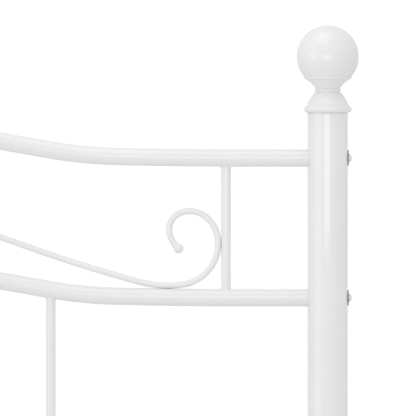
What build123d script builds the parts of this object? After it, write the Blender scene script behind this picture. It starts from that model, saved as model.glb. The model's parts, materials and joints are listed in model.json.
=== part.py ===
from build123d import *
import math
import os

# Daybed with round-tube posts, ball finials, curved rails and scroll work.
# +X runs along the bed, +Y towards the back panel, +Z up.  The origin is on
# the floor, under the middle of the bed.  All lengths are millimetres.

# ---------------------------------------------------------------- overall
POST_SPAN_X = 2050.0        # post centre to post centre, along the bed
POST_SPAN_Y = 960.0         # post centre to post centre, front to back
POST_OD = 50.8
POST_WALL = 1.5
POST_TOP = 889.0            # top rim of the post tube
FOOT_H = 8.0                # thickness of the plastic foot under the post

# ---------------------------------------------------------------- panels
TOP_RAIL_Z = 832.0          # axis of the top rail where it meets a post
RAIL_DROP = 176.6           # top rail axis to second rail axis
BOTTOM_RAIL_Z = 380.0
RAIL_OD = 22.0
RAIL_WALL = 1.5
SPINDLE_OD = 12.0
SPINDLE_WALL = 1.2
SHORT_SPINDLE_D = 128.5     # post axis to short spindle axis
LOWER_SPINDLE_D = 350.0     # post axis to the first lower spindle of the back

# rail centreline: flat, a slow lift, a bend, an incline, a crown
LIFT_D = 109.2              # where the lift starts, from the post axis
LIFT_R, LIFT_A = 6520.0, 1.396
BEND_R, BEND_A = 563.0, 8.711
CROWN_D = 640.0             # where the crown arc of the back rails starts
ARM_BEND_A = 6.604          # the arm rails bend less, then crown at once

# ---------------------------------------------------------------- scrolls
SCROLL_OD = 8.0
SCROLL_BALL_D = 12.5
# volute, from its inner end outwards: radius, angle (counter-clockwise)
VOLUTE_HEADING = 45.3
VOLUTE_START = (188.6, -114.15)
VOLUTE_ARCS = [(62.0, 9.86), (27.7, 40.56), (21.7, 60.14), (32.1, 61.0), (41.1, 43.6), (52.1, 93.3), (152.1, 21.5)]
TAIL_R = 1850.0             # very slow curve of the tail
TAIL_ARM_END = 480.0

# ---------------------------------------------------------------- finial
BALL_R = 39.25
BALL_WALL = 1.5
BALL_Z = 71.25              # ball centre above the post's rim
LIP_Z = 46.1                # top of the cup's lip
SPIGOT_H = 18.0

# ---------------------------------------------------------------- fasteners
BOLT_D = 6.0
BOLT_HEAD_D = 10.5
BOLT_HEAD_H = 3.3
BOLT_LEN = 70.0
WASHER_D = 19.5             # up the post
WASHER_W = 15.2             # across the post
WASHER_T = 1.3
HOLE_D = 6.6
INSERT_LEN = 20.0

# ---------------------------------------------------------------- deck
DECK_RAIL_W = 25.0
DECK_RAIL_H = 50.0
DECK_RAIL_TOP = 350.0
SLAT_W = 30.0
SLAT_H = 15.0
SLAT_WALL = 1.2
SLAT_COUNT = 13
SLAT_PITCH = 150.0
SLAT_HALF_LEN = 484.0
ACCESS_D = 12.0             # hole in the slat's top wall over each screw
BEAM = 30.0
BEAM_HALF_LEN = 960.0
LEG_X = 375.0
LEG_OD = 25.4
LEG_FOOT_H = 6.0
FIT = 0.05                  # gap between nested pieces

HX = POST_SPAN_X / 2
HY = POST_SPAN_Y / 2
POST_R = POST_OD / 2
RAIL_R = RAIL_OD / 2
ROD_R = SCROLL_OD / 2
os.makedirs("parts", exist_ok=True)


def save(name, *shapes):
    solids = []
    for shape in shapes:
        solids.extend(shape.solids())
    shape = solids[0] if len(solids) == 1 else Compound(children=solids)
    export_step(shape, "parts/" + name + ".step")


def rod_z(x, y, z0, z1, r):
    return Pos(x, y, z0) * extrude(Circle(r), amount=z1 - z0)


def rod_x(x0, x1, y, z, r):
    return Pos(x0, y, z) * (Rotation(0, 90, 0) * extrude(Circle(r), amount=x1 - x0))


class Chain:
    """Straight runs and tangent arcs in a plane."""

    def __init__(self, start, heading):
        self.p = start
        self.h = heading
        self.start = start
        self.start_h = heading
        self.edges = []
        self.length = 0.0

    def line(self, length):
        a = math.radians(self.h)
        q = (self.p[0] + length * math.cos(a), self.p[1] + length * math.sin(a))
        self.edges.append(Line(self.p, q))
        self.p = q
        self.length += length
        return self

    def arc(self, radius, angle):
        a = math.radians(self.h)
        self.edges.append(JernArc(start=self.p, tangent=(math.cos(a), math.sin(a)), radius=radius, arc_size=angle))
        s = 1 if angle > 0 else -1
        b = math.radians(self.h + angle)
        self.p = (
            self.p[0] + s * radius * (math.sin(b) - math.sin(a)),
            self.p[1] - s * radius * (math.cos(b) - math.cos(a)),
        )
        self.h += angle
        self.length += radius * math.radians(abs(angle))
        return self

    def tube(self, r_out, r_in=0.0):
        path = Wire([e.edge() for e in self.edges])
        a = math.radians(self.start_h)
        at = Plane(origin=(self.start[0], self.start[1], 0), z_dir=(math.cos(a), math.sin(a), 0))
        solid = sweep(at * Circle(r_out), path=path)
        if r_in > 0:
            solid = solid - sweep(at * Circle(r_in), path=path)
        return solid


def back_plane(z):
    """Local x from the left rear post along the back, local y up."""
    return Plane(origin=(-HX, HY, z), x_dir=(1, 0, 0), z_dir=(0, -1, 0))


def arm_plane(z):
    """Local x from the left rear post towards the front, local y up."""
    return Plane(origin=(-HX, HY, z), x_dir=(0, -1, 0), z_dir=(-1, 0, 0))


# ------------------------------------------------ rail centreline geometry
la = math.radians(LIFT_A)
bend_d0 = LIFT_D + LIFT_R * math.sin(la)
bend_z0 = LIFT_R * (1 - math.cos(la))


def after_bend(bend):
    ta = la + math.radians(bend)
    d = bend_d0 + BEND_R * (math.sin(ta) - math.sin(la))
    z = bend_z0 - BEND_R * (math.cos(ta) - math.cos(la))
    return d, z, ta


back_d1, back_z1, back_ta = after_bend(BEND_A)
incline = (CROWN_D - back_d1) / math.cos(back_ta)
CROWN_R = (HX - CROWN_D) / math.sin(back_ta)
CROWN_RISE = back_z1 + (CROWN_D - back_d1) * math.tan(back_ta) + CROWN_R * (1 - math.cos(back_ta))
arm_d1, arm_z1, arm_ta = after_bend(ARM_BEND_A)
ARM_CROWN_R = (HY - arm_d1) / math.sin(arm_ta)
ARM_RISE = arm_z1 + ARM_CROWN_R * (1 - math.cos(arm_ta))
print("back crown R %.1f rise %.2f, arm crown R %.1f rise %.2f" % (CROWN_R, CROWN_RISE, ARM_CROWN_R, ARM_RISE))


def back_rail(r_out, r_in=0.0, start=6.0):
    c = Chain((start, 0.0), 0.0)
    c.line(LIFT_D - start).arc(LIFT_R, LIFT_A).arc(BEND_R, BEND_A).line(incline)
    c.arc(CROWN_R, -2 * (LIFT_A + BEND_A))
    c.line(incline).arc(BEND_R, BEND_A).arc(LIFT_R, LIFT_A).line(LIFT_D - start)
    return c.tube(r_out, r_in), c


def arm_rail(r_out, r_in=0.0, start=6.0):
    c = Chain((start, 0.0), 0.0)
    c.line(LIFT_D - start).arc(LIFT_R, LIFT_A).arc(BEND_R, ARM_BEND_A)
    c.arc(ARM_CROWN_R, -2 * (LIFT_A + ARM_BEND_A))
    c.arc(BEND_R, ARM_BEND_A).arc(LIFT_R, LIFT_A).line(LIFT_D - start)
    return c.tube(r_out, r_in), c


# ------------------------------------------------ posts and feet
post_cylinders = [rod_z(sx * HX, sy * HY, 0, POST_TOP + 60, POST_R) for sx in (-1, 1) for sy in (1, -1)]
back_bolt_z = [TOP_RAIL_Z, TOP_RAIL_Z - RAIL_DROP, BOTTOM_RAIL_Z]
deck_bolt_z = [DECK_RAIL_TOP - 37.0, DECK_RAIL_TOP - 13.0]


def post(sx, sy):
    body = rod_z(0, 0, FOOT_H, POST_TOP, POST_R) - rod_z(0, 0, FOOT_H - 1, POST_TOP + 1, POST_R - POST_WALL)
    for z in deck_bolt_z + (back_bolt_z if sy > 0 else []):
        body = body - rod_x(-40, 40, 0, z, HOLE_D / 2)
    return Pos(sx * HX, sy * HY, 0) * body


save("rear_left_post", post(-1, 1))
save("rear_right_post", post(1, 1))
save("front_left_post", post(-1, -1))
save("front_right_post", post(1, -1))

CORNERS = [(-HX, HY), (HX, HY), (-HX, -HY), (HX, -HY)]
foot = rod_z(0, 0, 0, FOOT_H, POST_R) + rod_z(0, 0, FOOT_H, FOOT_H + 25, POST_R - POST_WALL - FIT)
foot = fillet(foot.edges().filter_by(GeomType.CIRCLE).sort_by(Axis.Z)[0], 2.5)
save("post_foot_plugs", *[Pos(x, y, 0) * foot for x, y in CORNERS])

# ------------------------------------------------ finials
# turned base: spigot, torus, dome, bead, neck, cup with a thin lip
seat_r = BALL_R + FIT


def seat_z(r):
    return BALL_Z - math.sqrt(seat_r**2 - r**2)


lip_r = math.sqrt(seat_r**2 - (BALL_Z - LIP_Z) ** 2)
profile = [
    Line((18.0, -SPIGOT_H), (POST_R - POST_WALL - FIT, -SPIGOT_H)),
    Line((POST_R - POST_WALL - FIT, -SPIGOT_H), (POST_R - POST_WALL - FIT, 0)),
    Line((POST_R - POST_WALL - FIT, 0), (25.5, 0)),
    Line((25.5, 0), (25.8, 0.15)),
    ThreePointArc((25.8, 0.15), (30.1, 4.6), (28.1, 8.2)),
    ThreePointArc((28.1, 8.2), (26.75, 9.05), (26.15, 10.5)),
    ThreePointArc((26.15, 10.5), (22.5, 18.2), (15.9, 25.9)),
    Line((15.9, 25.9), (15.5, 26.8)),
    ThreePointArc((15.5, 26.8), (16.75, 28.85), (15.4, 30.75)),
    Line((15.4, 30.75), (15.2, 31.05)),
    ThreePointArc((15.2, 31.05), (20.8, 37.2), (29.2, 43.15)),
    ThreePointArc((29.2, 43.15), (30.2, 44.6), (lip_r, LIP_Z)),
    ThreePointArc((lip_r, LIP_Z), (18.0, seat_z(18.0)), (4.3, seat_z(4.3))),
    Line((4.3, seat_z(4.3)), (4.3, 18.0)),
    Line((4.3, 18.0), (18.0, 18.0)),
    Line((18.0, 18.0), (18.0, -SPIGOT_H)),
]
base_face = Plane.XZ * make_face(Wire([e.edge() for e in profile]).edges())
base = revolve(base_face, axis=Axis.Z)
save("finial_bases", *[Pos(x, y, POST_TOP) * base for x, y in CORNERS])

ball = Sphere(BALL_R) - Sphere(BALL_R - BALL_WALL)
ball = Pos(0, 0, BALL_Z) * ball - rod_z(0, 0, 20, BALL_Z, 4.4)
save("finial_balls", *[Pos(x, y, POST_TOP) * ball for x, y in CORNERS])

nut_z = BALL_Z - math.sqrt((BALL_R - BALL_WALL) ** 2 - 7.6**2) + FIT
nut = Pos(0, 0, nut_z) * (extrude(RegularPolygon(7.5, 6), amount=6.5) - extrude(Circle(4.05), amount=6.5))
save("finial_nuts", *[Pos(x, y, POST_TOP) * nut for x, y in CORNERS])
screw = rod_z(0, 0, 18, nut_z + 8, 4.0) + Pos(0, 0, 12.7) * extrude(RegularPolygon(7.5, 6), amount=5.3)
save("finial_screws", *[Pos(x, y, POST_TOP) * screw for x, y in CORNERS])

# ------------------------------------------------ back panel
left_rear = post_cylinders[0]
right_rear = post_cylinders[2]


def cope(shape, tools):
    for t in tools:
        shape = shape - t
    return shape


solid_rail, chain = back_rail(RAIL_R)
hollow_rail, chain = back_rail(RAIL_R, RAIL_R - RAIL_WALL)
print("back rail: length %.1f, end %s, volume ratio %.5f" % (
    chain.length, chain.p, solid_rail.volume / (math.pi * RAIL_R**2 * chain.length)))
rear_posts = [left_rear, right_rear]
for name, z in (("back_top_rail", TOP_RAIL_Z), ("back_second_rail", TOP_RAIL_Z - RAIL_DROP)):
    save(name, cope(back_plane(z).location * hollow_rail, rear_posts))
solid_top = back_plane(TOP_RAIL_Z).location * solid_rail
solid_second = back_plane(TOP_RAIL_Z - RAIL_DROP).location * solid_rail
straight = rod_x(-HX + 6, HX - 6, HY, BOTTOM_RAIL_Z, RAIL_R)
straight_in = rod_x(-HX + 6, HX - 6, HY, BOTTOM_RAIL_Z, RAIL_R - RAIL_WALL)
save("back_bottom_rail", cope(straight - straight_in, rear_posts))


def spindle(x, y, z0, z1, tools):
    tube = rod_z(x, y, z0, z1, SPINDLE_OD / 2)
    tube = tube - rod_z(x, y, z0 - 1, z1 + 1, SPINDLE_OD / 2 - SPINDLE_WALL)
    tube = cope(tube, tools)
    return tube.solids().sort_by(SortBy.VOLUME)[-1]


z2 = TOP_RAIL_Z - RAIL_DROP
short_left = spindle(-HX + SHORT_SPINDLE_D, HY, z2, TOP_RAIL_Z, [solid_top, solid_second])
save("back_short_spindles", short_left, mirror(short_left, about=Plane.YZ))

lower_xs = [-HX + LOWER_SPINDLE_D + i * (POST_SPAN_X - 2 * LOWER_SPINDLE_D) / 4 for i in range(5)]


def rail_z(d):
    """height of the back rail's axis above its flat end, at distance d"""
    d = min(d, POST_SPAN_X - d)
    if d <= LIFT_D:
        return 0.0
    if d <= bend_d0:
        return LIFT_R - math.sqrt(LIFT_R**2 - (d - LIFT_D) ** 2)
    if d <= back_d1:
        cx = bend_d0 - BEND_R * math.sin(la)
        return bend_z0 + BEND_R * math.cos(la) - math.sqrt(BEND_R**2 - (d - cx) ** 2)
    if d <= CROWN_D:
        return back_z1 + (d - back_d1) * math.tan(back_ta)
    return CROWN_RISE - CROWN_R + math.sqrt(CROWN_R**2 - (HX - d) ** 2)


lower = [
    spindle(x, HY, BOTTOM_RAIL_Z, z2 + rail_z(x + HX), [solid_second, straight]) for x in lower_xs
]
save("back_lower_spindles", *lower)

# scroll: the volute stands on the second rail and touches the short spindle
volute = Chain(VOLUTE_START, VOLUTE_HEADING)
for r, a in VOLUTE_ARCS:
    volute.arc(r, a)
h = math.radians(volute.h)
foot_r = VOLUTE_ARCS[-1][0]
foot_c = (volute.p[0] - foot_r * math.sin(h), volute.p[1] + foot_r * math.cos(h))
lift_c = (LIFT_D, -RAIL_DROP + LIFT_R)
gap = LIFT_R - RAIL_R - ROD_R - foot_r
drop = lift_c[1] - math.sqrt(gap**2 - (foot_c[0] - lift_c[0]) ** 2) - foot_c[1]
start = (VOLUTE_START[0], VOLUTE_START[1] + drop)
foot_c = (foot_c[0], foot_c[1] + drop)
# the volute's nearest point to the post, where its axis runs straight down
c = Chain(start, VOLUTE_HEADING)
for r, a in VOLUTE_ARCS:
    if c.h + a >= 270.0:
        break
    c.arc(r, a)
side_x = c.p[0] - r * math.sin(math.radians(c.h)) - r
slide = SHORT_SPINDLE_D + SPINDLE_OD / 2 + ROD_R - side_x
print("volute: raised %.3f, moved %.3f" % (drop, slide))
start = (start[0] + slide, start[1])
foot_c = (foot_c[0] + slide, foot_c[1])
side_x += slide
# the two halves of the S are the same shape turned by 180 degrees about MID
mid_d = (HX - ROD_R + side_x) / 2
crown_c = (HX, CROWN_RISE - CROWN_R)
reach = CROWN_R - RAIL_R - ROD_R - foot_r
dz = math.sqrt(reach**2 - (2 * mid_d - foot_c[0] - crown_c[0]) ** 2)
mid_z = (crown_c[1] + dz + foot_c[1]) / 2


def half(tail_angle):
    c = Chain(start, VOLUTE_HEADING)
    for r, a in VOLUTE_ARCS:
        c.arc(r, a)
    return c.arc(TAIL_R, tail_angle)


lo, hi = 0.5, 9.0
for _ in range(60):
    m = (lo + hi) / 2
    c = half(m)
    want = math.degrees(math.atan2(mid_z - c.p[1], mid_d - c.p[0]))
    if c.h - 360.0 < want:
        lo = m
    else:
        hi = m
tail_a = (lo + hi) / 2
c = half(tail_a)
run = math.hypot(mid_d - c.p[0], mid_z - c.p[1])
print("scroll: start (%.3f, %.3f) middle (%.3f, %.3f) tail angle %.4f run %.3f slope %.2f" % (
    start[0], start[1], mid_d, mid_z, tail_a, run, c.h))
c.line(2 * run).arc(TAIL_R, -tail_a)
for r, a in reversed(VOLUTE_ARCS):
    c.arc(r, -a)
scroll_path = c
scroll = scroll_path.tube(ROD_R)
print("scroll length %.1f volume ratio %.5f end (%.2f, %.2f)" % (
    c.length, scroll.volume / (math.pi * ROD_R**2 * c.length), c.p[0], c.p[1]))
loc = back_plane(TOP_RAIL_Z).location
end_balls = [loc * (Pos(p[0], p[1], 0) * Sphere(SCROLL_BALL_D / 2)) for p in (start, scroll_path.p)]
left_scroll = cope(loc * scroll, end_balls)
left_scroll = left_scroll.solids().sort_by(SortBy.VOLUME)[-1]
save("back_scroll_left", left_scroll)
save("back_scroll_right", mirror(left_scroll, about=Plane.YZ))
save("back_scroll_balls", *(end_balls + [mirror(b, about=Plane.YZ) for b in end_balls]))

# ------------------------------------------------ arm panels
solid_arm, chain = arm_rail(RAIL_R)
hollow_arm, chain = arm_rail(RAIL_R, RAIL_R - RAIL_WALL)
print("arm rail: length %.1f end %s" % (chain.length, chain.p))
left_posts = [post_cylinders[0], post_cylinders[1]]
arm_top = cope(arm_plane(TOP_RAIL_Z).location * hollow_arm, left_posts)
arm_second = cope(arm_plane(z2).location * hollow_arm, left_posts)
arm_top_solid = arm_plane(TOP_RAIL_Z).location * solid_arm
arm_second_solid = arm_plane(z2).location * solid_arm
arm_bottom_solid = Pos(-HX, HY - 6, BOTTOM_RAIL_Z) * (Rotation(90, 0, 0) * extrude(Circle(RAIL_R), amount=POST_SPAN_Y - 12))
arm_bottom_in = Pos(-HX, HY - 6, BOTTOM_RAIL_Z) * (Rotation(90, 0, 0) * extrude(Circle(RAIL_R - RAIL_WALL), amount=POST_SPAN_Y - 12))
arm_bottom = cope(arm_bottom_solid - arm_bottom_in, left_posts)
arm_short = [
    spindle(-HX, y, z2, TOP_RAIL_Z + (ARM_RISE if y == 0 else 0), [arm_top_solid, arm_second_solid])
    for y in (HY - SHORT_SPINDLE_D, 0, -HY + SHORT_SPINDLE_D)
]
arm_lower = [
    spindle(-HX, y, BOTTOM_RAIL_Z, z2 + ARM_RISE, [arm_second_solid, arm_bottom_solid])
    for y in (HY - POST_SPAN_Y / 3, HY - 2 * POST_SPAN_Y / 3)
]
# the arm's scrolls have the same volute; the tails end on the middle spindle
c = Chain(start, VOLUTE_HEADING)
for r, a in VOLUTE_ARCS:
    c.arc(r, a)
tail_cx = c.p[0] - TAIL_R * math.sin(math.radians(c.h))
arm_tail = math.degrees(math.asin((TAIL_ARM_END - tail_cx) / TAIL_R)) - (c.h - 360.0)
c.arc(TAIL_R, arm_tail)
print("arm tail angle %.4f ends (%.2f, %.2f) heading %.2f" % (arm_tail, c.p[0], c.p[1], c.h))
arm_scroll = arm_plane(TOP_RAIL_Z).location * c.tube(ROD_R)
arm_ball = arm_plane(TOP_RAIL_Z).location * (Pos(start[0], start[1], 0) * Sphere(SCROLL_BALL_D / 2))
mid_cyl = rod_z(-HX, 0, z2, TOP_RAIL_Z + ARM_RISE, SPINDLE_OD / 2)
arm_scroll = cope(arm_scroll, [arm_ball, mid_cyl]).solids().sort_by(SortBy.VOLUME)[-1]
arm_scrolls = [arm_scroll, mirror(arm_scroll, about=Plane.XZ)]
arm_balls = [arm_ball, mirror(arm_ball, about=Plane.XZ)]

for side in ("left", "right"):
    def put(shape):
        return shape if side == "left" else mirror(shape, about=Plane.YZ)

    save(side + "_arm_top_rail", put(arm_top))
    save(side + "_arm_second_rail", put(arm_second))
    save(side + "_arm_bottom_rail", put(arm_bottom))
    save(side + "_arm_short_spindles", *[put(s) for s in arm_short])
    save(side + "_arm_lower_spindles", *[put(s) for s in arm_lower])
    save(side + "_arm_scrolls", *[put(s) for s in arm_scrolls])
    save(side + "_arm_scroll_balls", *[put(s) for s in arm_balls])

# ------------------------------------------------ bolts, washers, inserts
# one set, drawn at the left end of a rail with the post axis at x = 0
head_x = -(POST_R + WASHER_T)
bolt = rod_x(head_x, head_x + BOLT_LEN, 0, 0, BOLT_D / 2)
head_profile = make_face(
    Wire([
        Line((0, 0), (0, BOLT_HEAD_D / 2)).edge(),
        Line((0, BOLT_HEAD_D / 2), (-0.6, BOLT_HEAD_D / 2)).edge(),
        ThreePointArc((-0.6, BOLT_HEAD_D / 2), (-2.4, 4.1), (-BOLT_HEAD_H, 2.9)).edge(),
        Line((-BOLT_HEAD_H, 2.9), (-BOLT_HEAD_H, 0)).edge(),
        Line((-BOLT_HEAD_H, 0), (0, 0)).edge(),
    ]).edges()
)
head = Pos(head_x, 0, 0) * revolve(head_profile, axis=Axis.X)
socket = Pos(head_x - BOLT_HEAD_H - 0.1, 0, 0) * (Rotation(0, 90, 0) * extrude(RegularPolygon(4.0 / math.sqrt(3), 6), amount=2.1))
bolt = (bolt + head) - socket
washer = rod_z(0, 0, -20, 20, POST_R + WASHER_T) - rod_z(0, 0, -20, 20, POST_R + 0.01)
washer = washer & extrude(Plane.YZ * Ellipse(WASHER_W / 2, WASHER_D / 2), amount=60, both=True)
washer = washer & rod_x(-POST_R - 5, 0, 0, 0, WASHER_D)
washer = washer - rod_x(-60, 0, 0, 0, HOLE_D / 2)
insert = rod_x(27.5, 27.5 + INSERT_LEN, 0, 0, RAIL_R - RAIL_WALL - FIT) - rod_x(20, 60, 0, 0, BOLT_D / 2 + FIT)


def ends(shape, places):
    out = []
    for y, z in places:
        left = Pos(-HX, y, z) * shape
        out += [left, mirror(left, about=Plane.YZ)]
    return out


back_places = [(HY, z) for z in back_bolt_z]
deck_places = [(y, z) for y in (HY, -HY) for z in deck_bolt_z]
save("back_panel_bolts", *ends(bolt, back_places))
save("back_panel_saddle_washers", *ends(washer, back_places))
save("back_rail_threaded_inserts", *ends(insert, back_places))
save("deck_rail_bolts", *ends(bolt, deck_places))
save("deck_rail_saddle_washers", *ends(washer, deck_places))

# ------------------------------------------------ deck
rail_mid = DECK_RAIL_TOP - DECK_RAIL_H / 2
deck_rail = Box(POST_SPAN_X - 12, DECK_RAIL_W, DECK_RAIL_H)
deck_rail = fillet(deck_rail.edges().filter_by(Axis.X), 2.5)
deck_rail = deck_rail - Box(POST_SPAN_X, DECK_RAIL_W - 3.0, DECK_RAIL_H - 3.0)
slat_xs = [(i - (SLAT_COUNT - 1) / 2) * SLAT_PITCH for i in range(SLAT_COUNT)]
SCREW_Y = 474.0
for name, sy, tools in (
    ("back_deck_rail", 1, [post_cylinders[0], post_cylinders[2]]),
    ("front_deck_rail", -1, [post_cylinders[1], post_cylinders[3]]),
):
    r = cope(Pos(0, sy * HY, rail_mid) * deck_rail, tools)
    r = r.solids().sort_by(SortBy.VOLUME)[-1]
    for x in slat_xs:
        r = r - rod_z(x, sy * SCREW_Y, DECK_RAIL_TOP - 5, DECK_RAIL_TOP + 5, 2.55)
    save(name, r)
block = Pos(27.5 + 12.5, 0, 0) * Box(25.0, DECK_RAIL_W - 3.0 - 2 * FIT, DECK_RAIL_H - 3.0 - 2 * FIT)
for z in deck_bolt_z:
    block = block - rod_x(20, 60, 0, z - rail_mid, BOLT_D / 2 + FIT)
save("deck_rail_end_blocks", *ends(block, [(HY, rail_mid), (-HY, rail_mid)]))

top = DECK_RAIL_TOP + SLAT_H
slat = Box(SLAT_W, 2 * SLAT_HALF_LEN, SLAT_H)
slat = fillet(slat.edges().filter_by(Axis.Y), 2.0)
slat = slat - Box(SLAT_W - 2 * SLAT_WALL, 2 * SLAT_HALF_LEN + 2, SLAT_H - 2 * SLAT_WALL)
slat = Pos(0, 0, DECK_RAIL_TOP + SLAT_H / 2) * slat
# each screw's head sits inside the slat, on its lower wall, under an access hole


def screw_holes(y):
    return rod_z(0, y, DECK_RAIL_TOP - 2, DECK_RAIL_TOP + 5, 2.7) + rod_z(0, y, DECK_RAIL_TOP + 5, top + 2, ACCESS_D / 2)


for y in (-SCREW_Y, SCREW_Y):
    slat = slat - screw_holes(y)
slat_mid = slat - screw_holes(0)
mid_slats = [0, 3, 6, 9, 12]
save("slats", *[Pos(x, 0, 0) * (slat_mid if i in mid_slats else slat) for i, x in enumerate(slat_xs)])

cap = Pos(0, SLAT_HALF_LEN + 1.25, 0) * Box(SLAT_W, 2.5, SLAT_H)
cap = fillet(cap.edges().group_by(Axis.Y)[-1], 1.2)
cap = cap + Pos(0, SLAT_HALF_LEN - 2, 0) * Box(SLAT_W - 2 * SLAT_WALL - 0.1, 4.0, SLAT_H - 2 * SLAT_WALL - 0.1)
cap = Pos(0, 0, DECK_RAIL_TOP + SLAT_H / 2) * cap
caps = [Pos(x, 0, 0) * cap for x in slat_xs]
save("slat_end_caps", *(caps + [mirror(s, about=Plane.XZ) for s in caps]))

seat = DECK_RAIL_TOP + SLAT_WALL
slat_screw = rod_z(0, 0, seat - 16, seat, 2.5)
pan = revolve(
    Plane.XZ * make_face(Wire([
        Line((0, 0), (4.75, 0)).edge(),
        Line((4.75, 0), (4.75, 0.8)).edge(),
        ThreePointArc((4.75, 0.8), (3.9, 2.1), (2.2, 2.6)).edge(),
        Line((2.2, 2.6), (0, 2.6)).edge(),
        Line((0, 2.6), (0, 0)).edge(),
    ]).edges()),
    axis=Axis.Z,
)
slat_screw = slat_screw + Pos(0, 0, seat) * pan
cross = Pos(0, 0, seat + 1.9) * (Box(4.6, 0.9, 1.6) + Box(0.9, 4.6, 1.6))
slat_screw = slat_screw - cross
screws = [Pos(x, sy * SCREW_Y, 0) * slat_screw for x in slat_xs for sy in (1, -1)]
screws += [Pos(slat_xs[i], 0, 0) * slat_screw for i in mid_slats]
save("slat_screws", *screws)

beam = Box(2 * BEAM_HALF_LEN, BEAM, BEAM)
beam = fillet(beam.edges().filter_by(Axis.X), 2.5)
beam = beam - Box(2 * BEAM_HALF_LEN + 2, BEAM - 3.0, BEAM - 3.0)
beam = Pos(0, 0, DECK_RAIL_TOP - BEAM / 2) * beam
for i in mid_slats:
    beam = beam - rod_z(slat_xs[i], 0, DECK_RAIL_TOP - 5, DECK_RAIL_TOP + 5, 2.55)
save("centre_beam", beam)
bcap = Pos(BEAM_HALF_LEN + 1.25, 0, 0) * Box(2.5, BEAM, BEAM)
bcap = fillet(bcap.edges().group_by(Axis.X)[-1], 1.2)
bcap = bcap + Pos(BEAM_HALF_LEN - 6, 0, 0) * Box(12.0, BEAM - 3.1, BEAM - 3.1)
bcap = Pos(0, 0, DECK_RAIL_TOP - BEAM / 2) * bcap
save("centre_beam_end_caps", bcap, mirror(bcap, about=Plane.YZ))

leg_top = DECK_RAIL_TOP - BEAM
leg = rod_z(0, 0, LEG_FOOT_H, leg_top, LEG_OD / 2) - rod_z(0, 0, 0, leg_top + 1, LEG_OD / 2 - 1.5)
save("centre_legs", *[Pos(x, 0, 0) * leg for x in (-LEG_X, LEG_X)])
glide = rod_z(0, 0, 0, LEG_FOOT_H, 17.0) + rod_z(0, 0, LEG_FOOT_H, LEG_FOOT_H + 20, LEG_OD / 2 - 1.5 - FIT)
glide = fillet(glide.edges().filter_by(GeomType.CIRCLE).sort_by(Axis.Z)[0], 2.0)
save("centre_leg_glides", *[Pos(x, 0, 0) * glide for x in (-LEG_X, LEG_X)])
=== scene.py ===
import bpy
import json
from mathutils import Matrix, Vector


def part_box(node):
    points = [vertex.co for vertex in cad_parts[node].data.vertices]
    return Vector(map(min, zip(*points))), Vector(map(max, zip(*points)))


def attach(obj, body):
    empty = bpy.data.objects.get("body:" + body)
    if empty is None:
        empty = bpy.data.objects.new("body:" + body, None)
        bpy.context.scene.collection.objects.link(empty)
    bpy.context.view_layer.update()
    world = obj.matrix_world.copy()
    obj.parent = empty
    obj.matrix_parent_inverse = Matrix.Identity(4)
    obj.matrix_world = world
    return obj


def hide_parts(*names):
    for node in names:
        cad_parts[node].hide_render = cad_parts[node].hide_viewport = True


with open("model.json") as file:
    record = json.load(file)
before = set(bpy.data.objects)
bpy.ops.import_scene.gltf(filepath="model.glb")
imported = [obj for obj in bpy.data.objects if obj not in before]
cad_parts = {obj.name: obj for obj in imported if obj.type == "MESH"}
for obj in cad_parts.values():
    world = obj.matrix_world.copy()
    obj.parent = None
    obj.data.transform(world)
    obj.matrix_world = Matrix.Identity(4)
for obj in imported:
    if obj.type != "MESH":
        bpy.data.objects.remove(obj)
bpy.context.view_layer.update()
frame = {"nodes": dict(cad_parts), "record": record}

import json
import math
import random

import bpy
from mathutils import Vector, noise

random.seed(7)

# ------------------------------------------------------------------ sizes
# All in millimetres, the same design values as the frame; MM turns them into metres.
MM = 0.001
POST_R = 25.4
RAIL_R = 11.0
SPINDLE_R = 6.0
ROD_R = 4.0
ROD_BALL_R = 6.25
RAIL_DROP = 176.6
SHORT_D = 128.5
LIFT_D, LIFT_R, LIFT_A = 109.2, 6520.0, 1.396
BEND_R, BEND_A, ARM_BEND_A = 563.0, 8.711, 6.604
CROWN_D = 640.0
VOLUTE = [(62.0, 9.86), (27.7, 40.56), (21.7, 60.14), (32.1, 61.0), (41.1, 43.6), (52.1, 93.3), (152.1, 21.5)]
VOLUTE_HEADING = 45.3
VOLUTE_START = (188.6, -114.15)
TAIL_R = 1850.0
BALL_R, BALL_Z, LIP_Z = 39.25, 71.25, 46.1


def mm_box(node):
    lo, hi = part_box(node)
    return [v * 1000 for v in lo], [v * 1000 for v in hi]


_lo, _hi = mm_box("rear_left_post")
HX = -(_lo[0] + _hi[0]) / 2
HY = (_lo[1] + _hi[1]) / 2
POST_TOP, FOOT_H = _hi[2], _lo[2]
_lo, _hi = mm_box("back_bottom_rail")
BOTTOM_Z = (_lo[2] + _hi[2]) / 2
TOP_Z = mm_box("back_top_rail")[0][2] + RAIL_R
SECOND_Z = TOP_Z - RAIL_DROP
_lo, _hi = mm_box("front_deck_rail")
DECK_LO, DECK_TOP = _lo[2], _hi[2]
DECK_W = _hi[1] - _lo[1]
SLAT_TOP = mm_box("slats")[1][2]


# ------------------------------------------------------------------ meshes
def noise_at(x, y, z, scale=1.0):
    return noise.noise(Vector((x * scale, y * scale, z * scale)))


def new_mesh(name, verts, faces, sharp=38.0, smooth=True):
    me = bpy.data.meshes.new(name)
    me.from_pydata([(x * MM, y * MM, z * MM) for x, y, z in verts], [], faces)
    me.validate(verbose=False)
    me.update()
    if smooth:
        me.polygons.foreach_set("use_smooth", [True] * len(me.polygons))
        me.set_sharp_from_angle(angle=math.radians(sharp))
    return me


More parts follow.
